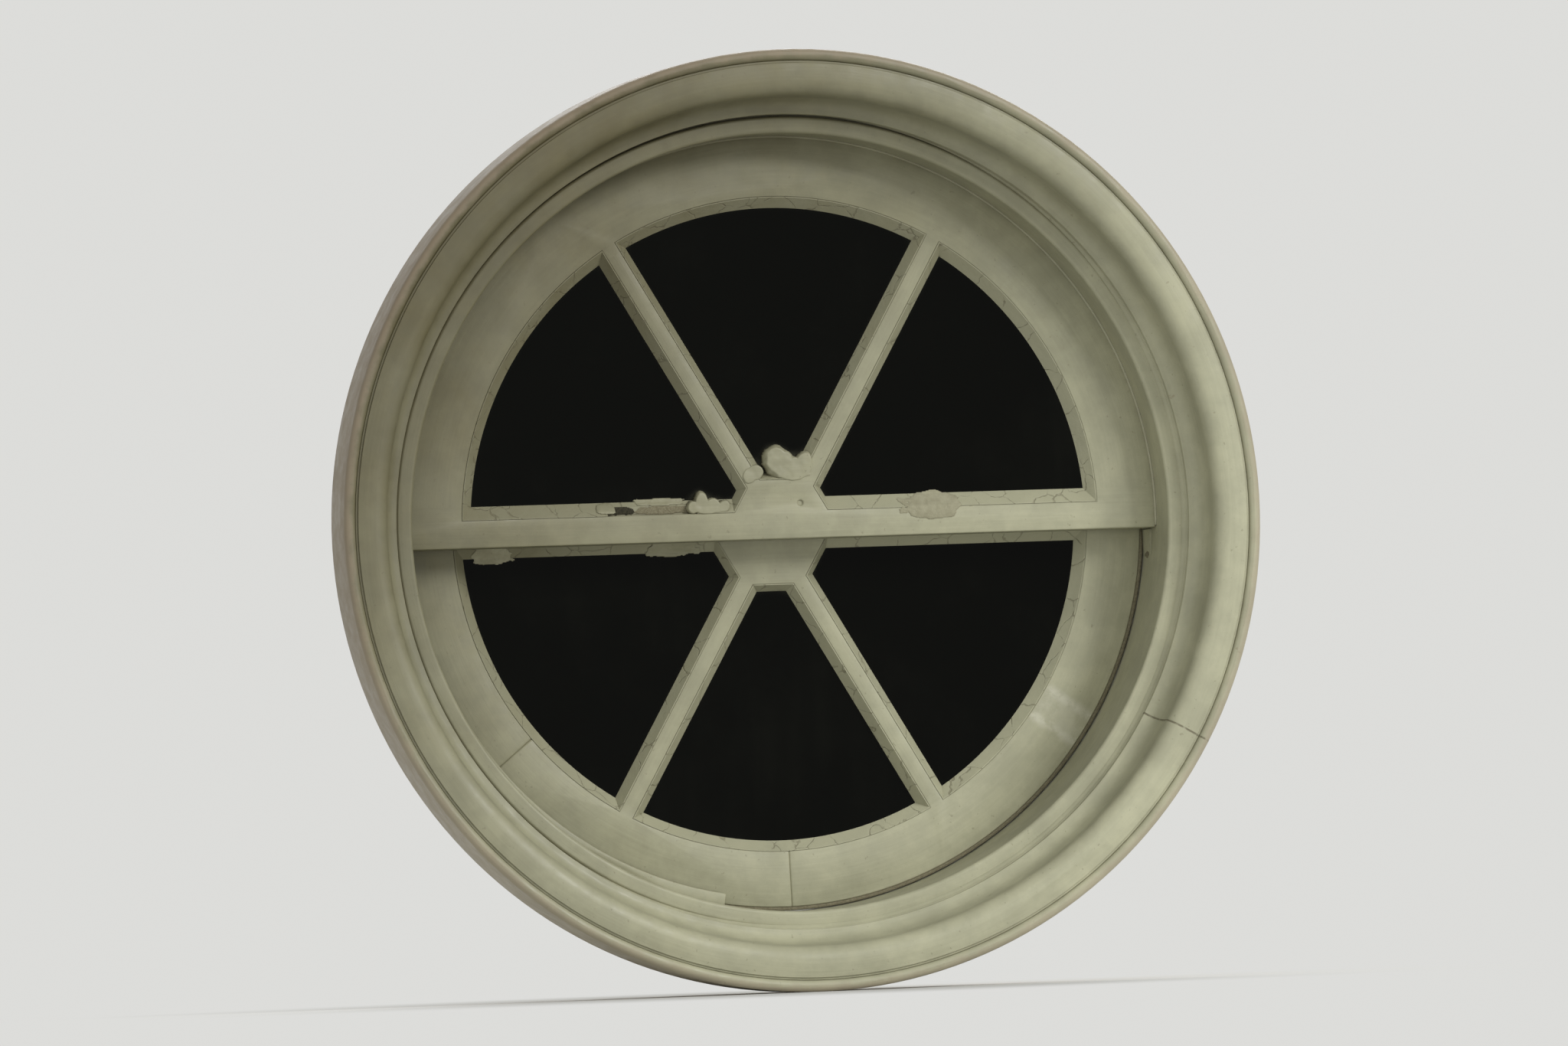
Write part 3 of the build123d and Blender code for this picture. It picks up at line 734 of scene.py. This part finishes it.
def ring_strip(name, profile, first, last, material, body, taper=0, limit=1.0):
    """A closed profile of radius and depth swept round the axis from one angle to another.

    Over the taper's angle at each end it thins towards the profile's second point. It stays
    within the limit on either side."""
    count = round(abs(last - first))
    root_radius, root_depth = profile[1]
    bm = bmesh.new()
    rows = []
    for i in range(count + 1):
        angle = (last - first) * i / count
        a = radians(first + angle)
        full = min(1.0, (min(angle, last - first - angle) + 1) / taper) if taper else 1.0
        row = []
        for r, y in profile:
            r, y = root_radius + (r - root_radius) * full, root_depth + (y - root_depth) * full
            row.append(bm.verts.new((max(-limit, min(limit, r * cos(a))), y, r * sin(a))))
        rows.append(row)
    for one, two in zip(rows, rows[1:]):
        for k in range(len(profile)):
            n = (k + 1) % len(profile)
            bm.faces.new((one[k], one[n], two[n], two[k]))
    bm.faces.new(rows[0])
    bm.faces.new(rows[-1][::-1])
    bmesh.ops.recalc_face_normals(bm, faces=bm.faces)
    add_piece(name, bm, material, body)


hub_spots = [
    (-0.5, hub_top + 7.0, 10.5, 11.0),
    (9.0, hub_top + 2.0, 10.0, 8.5),
    (17.0, hub_top + 5.0, 6.5, 9.0),
    (-16.5, hub_top + 0.5, 6.5, 5.5),
    (-21.0, hub_top - 2.0, 5.0, 6.0),
    (9.0, hub_top - 1.0, 14.0, 5.0),
]
rail_spots = [
    (-53.0, 15.5, 5.0, 8.0),
    (-59.0, 12.0, 4.5, 5.0),
    (-45.5, 13.0, 6.0, 5.5),
    (-38.0, 12.5, 4.5, 4.5),
    (-49.0, 11.0, 12.5, 4.0),
]
clot_proud = 0.6
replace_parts(clot("hub_clot", hub_spots, clot_proud, "bar", "frame"), "hub_button")
clot("rail_clot", rail_spots, clot_proud, "bar", "frame")

slot_depth = 4.0
smear("broken_edge", "upper", (-104, -56), (4.9, 11.0), 0.9, "bar")
# Painted shadow: a near-black sheet where the broken putty leaves a deep slot
smear("slot_shadow", "upper", (-116, -96), (-0.6, 6.2), 0.4, "painted_shadow", slot_depth)
# Painted shade: a mid-tone sheet along the rest of the slot
smear("slot_shade", "upper", (-100, -56), (-0.6, 6.0), 0.3, "felt_and_shade", slot_depth)
smear("broken_step", "upper", (-124, -108), (0.0, 9.0), 1.0, "bar")
smear("rail_repair", "upper", (76, 130), (-9.5, 10.5), 0.6, "bare putty")
smear("corner_smear", "lower", (-205, -168), (-0.5, 13.0), 1.0, "bare putty")
smear("hub_smear", "lower", (-88, -44), (0.0, 12.0), 1.2, "bar")

# Dark marks over the plate's screws, drawn as dark lumps barely proud of the plate
mark_size = (0.5, 6.5, 2.8)
plate_marks = [((*MARK_PLACE, height), mark_size) for height in MARK_HEIGHTS]
lumps("plate_marks", plate_marks, "felt_and_shade", "frame", roughness=0.25, fineness=300.0)

# Each profile is a list of radii and depths
jamb_radius = sash_radius + SASH_GAP
strip_front = lower_front + 0.8 * MM
strip_profile = [
    (jamb_radius - 3.2 * MM, strip_front),
    (jamb_radius - 0.9 * MM, strip_front - 0.6 * MM),
    (jamb_radius - 0.5 * MM, strip_front + 0.4 * MM),
    (jamb_radius - 0.5 * MM, strip_front + 6 * MM),
    (jamb_radius - 3.2 * MM, strip_front + 6 * MM),
]
strip_limit = plate_face - 0.3 * MM
# The strip's dark felt is partly painted shade, the tone of the gap round the lower sash
ring_strip("draught_strip", strip_profile, -178, -2, "felt_and_shade", "lower_sash", limit=strip_limit)

bead = 1.6 * MM
bead_profile = [
    (jamb_radius, upper_front - bead),
    (jamb_radius, upper_front + 0.1 * MM),
    (jamb_radius - bead, upper_front + 0.1 * MM),
    (jamb_radius - bead * 0.45, upper_front - bead * 0.25),
]
ring_strip("paint_fillet", bead_profile, -2, 182, "ring", "frame")

casing_edge = jamb_radius + NOSE_WIDTH
caulk_profile = [
    (casing_edge + 0.3 * MM, -9.0 * MM),
    (casing_edge + 0.3 * MM, -3.0 * MM),
    (casing_edge - 3.4 * MM, -3.0 * MM),
    (casing_edge - 3.2 * MM, -4.9 * MM),
    (casing_edge - 1.6 * MM, -5.6 * MM),
    (casing_edge - 0.5 * MM, -7.0 * MM),
]
ring_strip("caulk_fillet", caulk_profile, -150, 85, "ring", "frame", taper=60)


# Stage, light and camera


def pale_floor():
    """A wide pale floor that fades into the pale world behind it."""
    bm = bmesh.new()
    lift = Matrix.Translation((0, 0, floor_height))
    bmesh.ops.create_circle(bm, cap_ends=True, segments=96, radius=FLOOR_RADIUS, matrix=lift)
    floor = as_object("floor", bm)
    bpy.context.scene.collection.objects.link(floor)
    graph = Graph("pale_floor")
    _, x, y, _ = graph.place()
    near = graph.node("BsdfDiffuse", {"Color": PALE}).outputs[0]
    far = graph.node("Emission", {"Color": PALE, "Strength": 1.0}).outputs[0]
    fade = graph.span(graph.length(x, y), *FLOOR_FADE)
    shader = graph.node("MixShader", {0: fade, 1: near, 2: far}).outputs[0]
    floor.data.materials.append(graph.finish(shader))


def pale_world():
    """A pale world: bright where it is seen, also in the glass, and dimmer as a light."""
    world = bpy.data.worlds.new("pale_world")
    world.use_nodes = True
    tree = world.node_tree
    rays = tree.nodes.new("ShaderNodeLightPath")
    seen = rays.outputs["Is Camera Ray"]
    for kind in ("Is Glossy Ray", "Is Transmission Ray"):
        either = tree.nodes.new("ShaderNodeMath")
        either.operation = "MAXIMUM"
        tree.links.new(seen, either.inputs[0])
        tree.links.new(rays.outputs[kind], either.inputs[1])
        seen = either.outputs[0]
    level = tree.nodes.new("ShaderNodeMapRange")
    level.inputs["To Min"].default_value = WORLD_LIGHT
    level.inputs["To Max"].default_value = WORLD_SEEN
    tree.links.new(seen, level.inputs["Value"])
    background = tree.nodes["Background"]
    background.inputs["Color"].default_value = (*PALE, 1)
    tree.links.new(level.outputs[0], background.inputs["Strength"])
    bpy.context.scene.world = world


def soft_lamp(name, direction, strength, softness):
    """A broad soft light from far away; the direction points to where it stands."""
    lamp = bpy.data.lights.new(name, "SUN")
    lamp.energy = strength
    lamp.angle = radians(softness)
    holder = bpy.data.objects.new(name, lamp)
    holder.rotation_mode = "QUATERNION"
    holder.rotation_quaternion = Vector(direction).to_track_quat("Z", "Y")
    bpy.context.scene.collection.objects.link(holder)


def photo_camera():
    """A long lens, low and to the left, rolled so that the meeting rail climbs to the right."""
    camera = bpy.data.cameras.new("camera")
    camera.sensor_width = SENSOR_WIDTH
    camera.lens = SENSOR_WIDTH * VIEW_DISTANCE / VIEW_WIDTH
    camera.clip_end = 200
    holder = bpy.data.objects.new("camera", camera)
    bpy.context.scene.collection.objects.link(holder)
    a, e = radians(VIEW_AZIMUTH), radians(VIEW_ELEVATION)
    back = Vector((sin(a) * cos(e), -cos(a) * cos(e), sin(e)))
    holder.location = Vector(VIEW_TARGET) + back * VIEW_DISTANCE
    holder.rotation_mode = "QUATERNION"
    aim = (-back).to_track_quat("-Z", "Y")
    holder.rotation_quaternion = aim @ Quaternion((0, 0, 1), radians(VIEW_ROLL))
    bpy.context.scene.camera = holder


pale_floor()
pale_world()
soft_lamp("key", (0.75, -1.0, 0.65), strength=1.75, softness=22)
soft_lamp("fill", (-0.5, -1.0, 0.2), strength=0.45, softness=60)
soft_lamp("back", (0.3, 1.0, 0.8), strength=1.5, softness=40)
photo_camera()
bpy.context.scene.view_settings.view_transform = "Standard"
